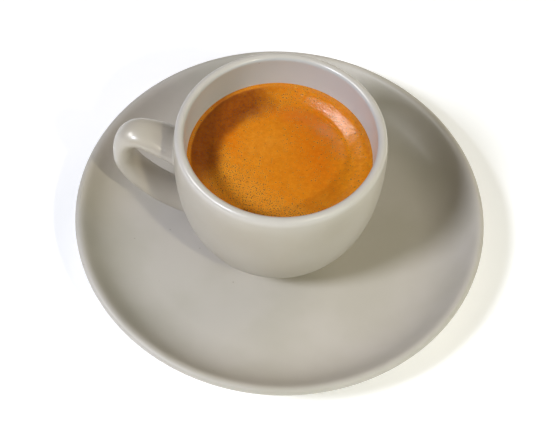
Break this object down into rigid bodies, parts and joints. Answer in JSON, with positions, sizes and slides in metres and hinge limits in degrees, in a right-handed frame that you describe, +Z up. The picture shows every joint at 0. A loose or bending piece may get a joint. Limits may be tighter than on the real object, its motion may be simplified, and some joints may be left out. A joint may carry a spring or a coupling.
{
  "type": "espresso in cup and saucer",
  "caption": "Espresso with crema in a thick-walled ceramic cup with a loop handle, on its matching shallow saucer.",
  "frame": {"origin": "middle of the saucer's foot ring, on the surface that it stands on", "axes": "+Z up along the saucer's axis; the cup's handle points to -X; the pictured side faces -Y"},
  "size_m": [0.128, 0.128, 0.0552],
  "materials": {
    "ceramic": "satin",
    "crema": "gloss"
  },
  "bodies": {
    "root": {"saucer": "ceramic", "cup": "ceramic", "espresso": "crema"}
  },
  "joints": []
}
